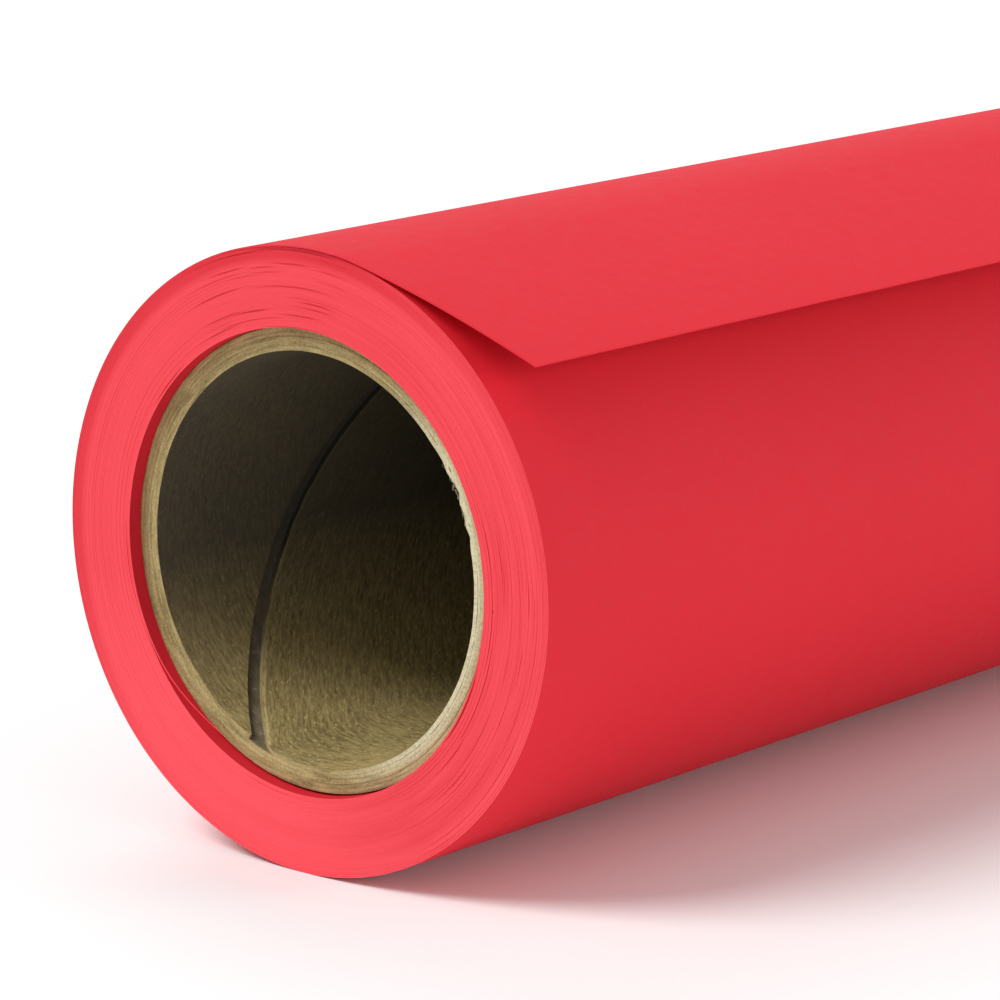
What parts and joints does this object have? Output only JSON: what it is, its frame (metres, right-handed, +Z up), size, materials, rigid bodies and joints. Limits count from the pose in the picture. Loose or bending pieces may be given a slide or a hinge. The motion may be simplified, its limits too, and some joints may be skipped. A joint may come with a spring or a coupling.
{
  "type": "backdrop paper roll",
  "caption": "Roll of matte red backdrop paper wound on an open spiral-wound board core, with the free end of the paper standing off the roll along its whole length.",
  "frame": {"origin": "on the roll's axis, midway along the paper's width", "axes": "+X along the roll, from the end where the core sits back inside the paper to the end where it stands out; +Z up when the roll lies on its side; the free end of the paper is on the -Y side, near the top"},
  "size_m": [1.348, 0.0858, 0.0861],
  "materials": {
    "red_paper": "matte",
    "kraft_board": "matte",
    "tape": "satin"
  },
  "bodies": {
    "roll": {"core_liner_ply": "kraft_board", "core_body_ply_1": "kraft_board", "core_body_ply_2": "kraft_board", "core_body_ply_3": "kraft_board", "core_outer_ply": "kraft_board", "start_tape": "tape", "wound_pack": "red_paper", "outer_turn": "red_paper"},
    "tail_1": {"tail_strip_1": "red_paper"},
    "tail_2": {"tail_strip_2": "red_paper"},
    "tail_3": {"tail_strip_3": "red_paper"},
    "tail_4": {"tail_strip_4": "red_paper"}
  },
  "joints": [
    {"name": "tail_lift", "type": "hinge", "parent": "roll", "child": "tail_1", "pos_m": [0, -0.01042, 0.0418], "axis": [-1, 0, 0], "range_deg": [-4, 8], "stiffness_Nm_per_rad": 0.5},
    {"name": "tail_bend_2", "type": "hinge", "parent": "tail_1", "child": "tail_2", "pos_m": [0, -0.01815, 0.03973], "axis": [-1, 0, 0], "range_deg": [-8, 16]},
    {"name": "tail_bend_3", "type": "hinge", "parent": "tail_2", "child": "tail_3", "pos_m": [0, -0.0258, 0.03739], "axis": [-1, 0, 0], "range_deg": [-8, 16]},
    {"name": "tail_bend_4", "type": "hinge", "parent": "tail_3", "child": "tail_4", "pos_m": [0, -0.03336, 0.03479], "axis": [-1, 0, 0], "range_deg": [-8, 16]}
  ],
  "couplings": [
    {"joint": "tail_bend_2", "follows": "tail_lift", "ratio": 2},
    {"joint": "tail_bend_3", "follows": "tail_lift", "ratio": 2},
    {"joint": "tail_bend_4", "follows": "tail_lift", "ratio": 2}
  ]
}
